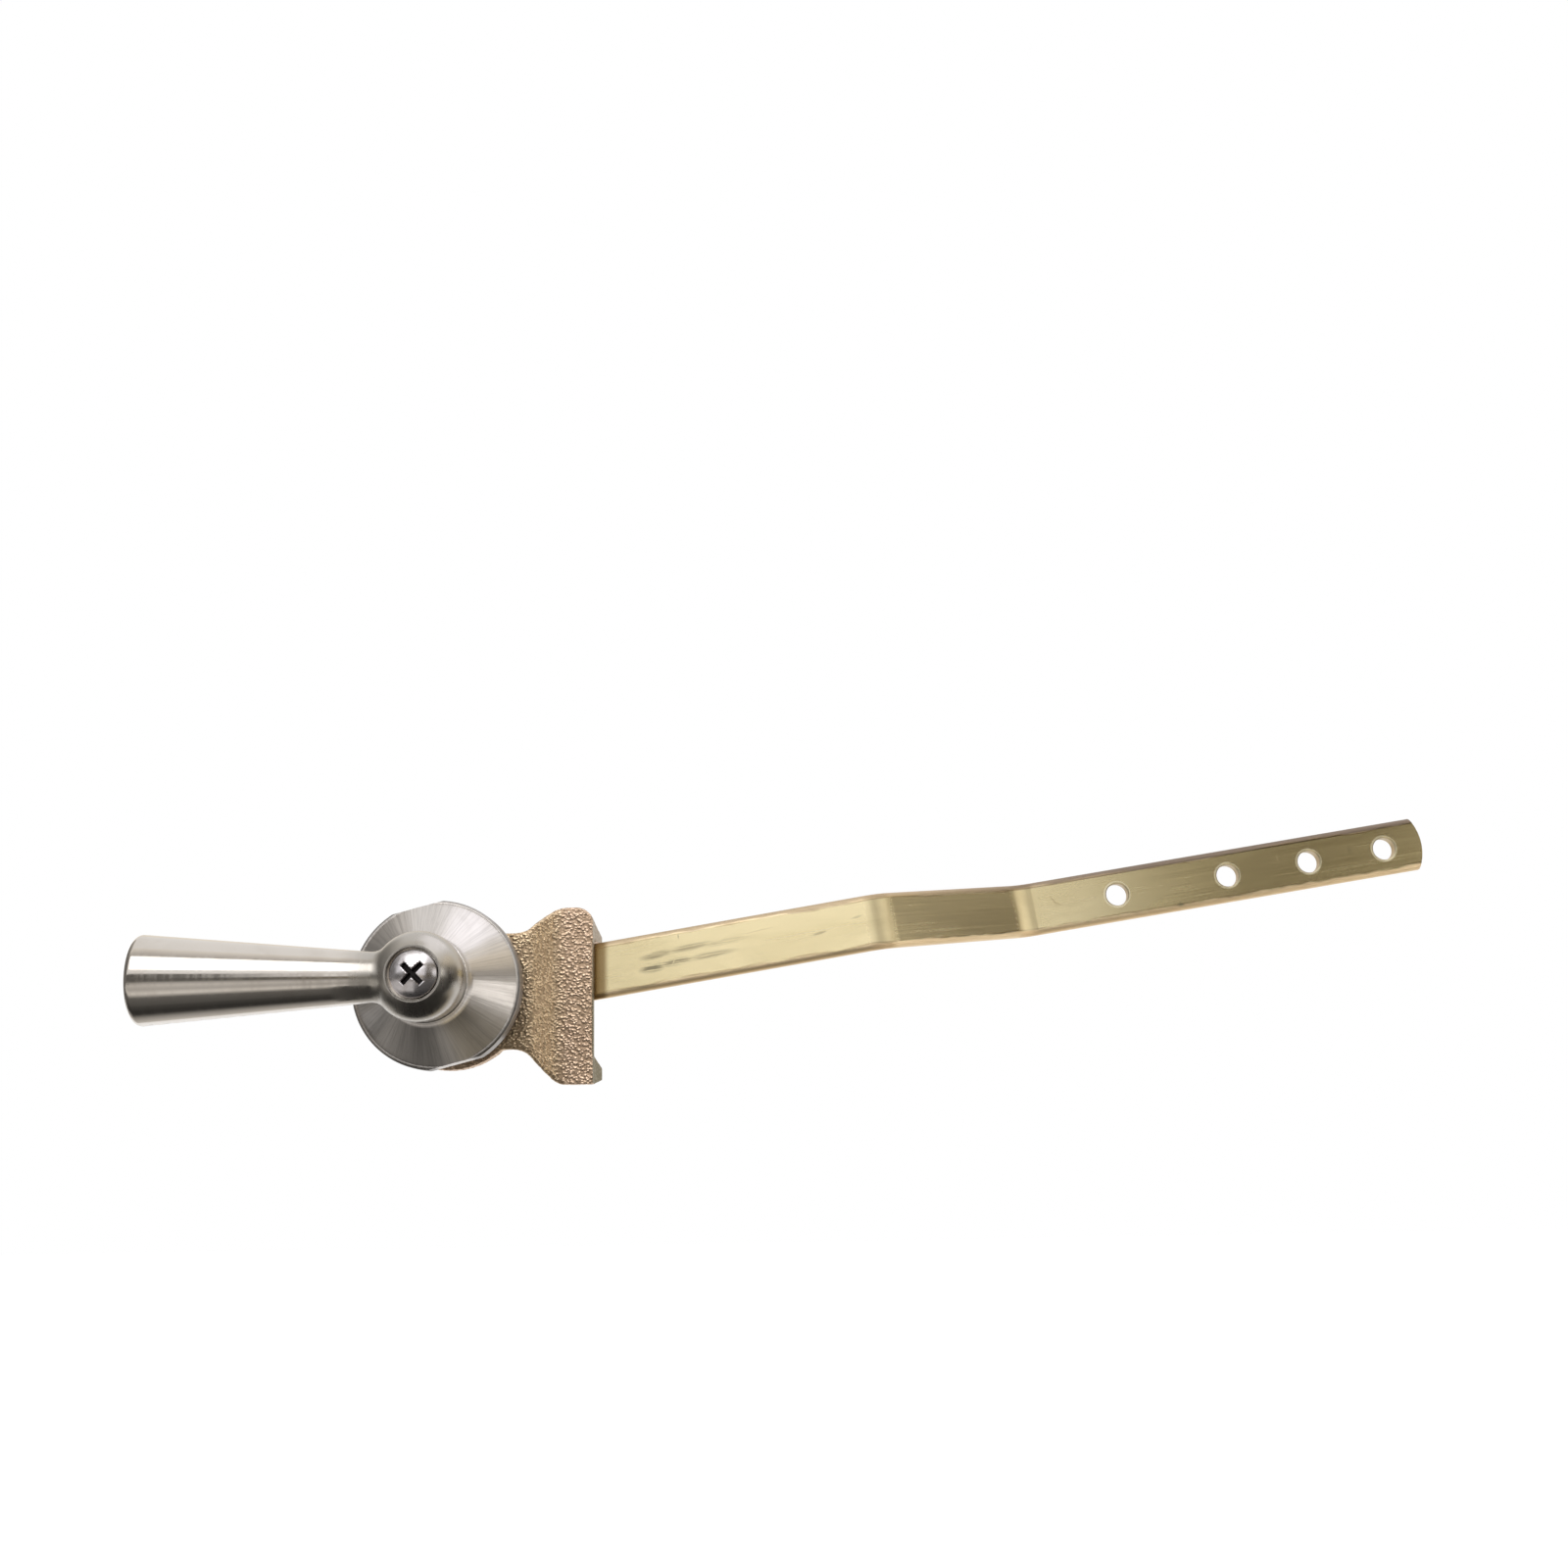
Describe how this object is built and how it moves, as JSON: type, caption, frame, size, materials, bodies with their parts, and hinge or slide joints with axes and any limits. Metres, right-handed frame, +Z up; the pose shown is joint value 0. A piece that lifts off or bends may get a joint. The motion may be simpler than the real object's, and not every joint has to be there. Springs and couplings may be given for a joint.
{
  "type": "cistern lever",
  "caption": "Front-mounted cistern flush lever: tapered satin handle, conical escutcheon with wrench flats, cast stop bracket and a cranked brass arm with chain holes.",
  "frame": {"origin": "centre of the hole in the tank wall, on the wall's outer face and the pivot's axis", "axes": "+Y along the pivot into the tank, +X along the wall towards the arm's end, +Z up"},
  "size_m": [0.2732, 0.0854, 0.0593],
  "materials": {
    "satin_nickel": "satin brushed nickel plate",
    "polished_steel": "polished plate",
    "spring_steel": "plain spring steel",
    "cast_bronze": "sand-cast, shot-blasted grain",
    "yellow_brass": "drawn and bright, lightly scratched",
    "black_rubber": "matt",
    "white_nylon": "natural nylon"
  },
  "bodies": {
    "wall_mount": {"bracket": "cast_bronze", "escutcheon": "satin_nickel", "outer_gasket": "black_rubber", "inner_gasket": "black_rubber", "front_bush": "white_nylon", "rear_bush": "white_nylon"},
    "lever": {"handle": "satin_nickel", "handle_screw": "polished_steel", "screw_lock_washer": "spring_steel", "spindle": "yellow_brass", "arm": "yellow_brass", "arm_washer": "yellow_brass", "arm_lock_washer": "spring_steel", "arm_nut": "yellow_brass"}
  },
  "joints": [
    {"name": "lever_swing", "type": "hinge", "parent": "wall_mount", "child": "lever", "pos_m": [0, 0, 0], "axis": [0, 1, 0], "range_deg": [0, 22.2]}
  ]
}
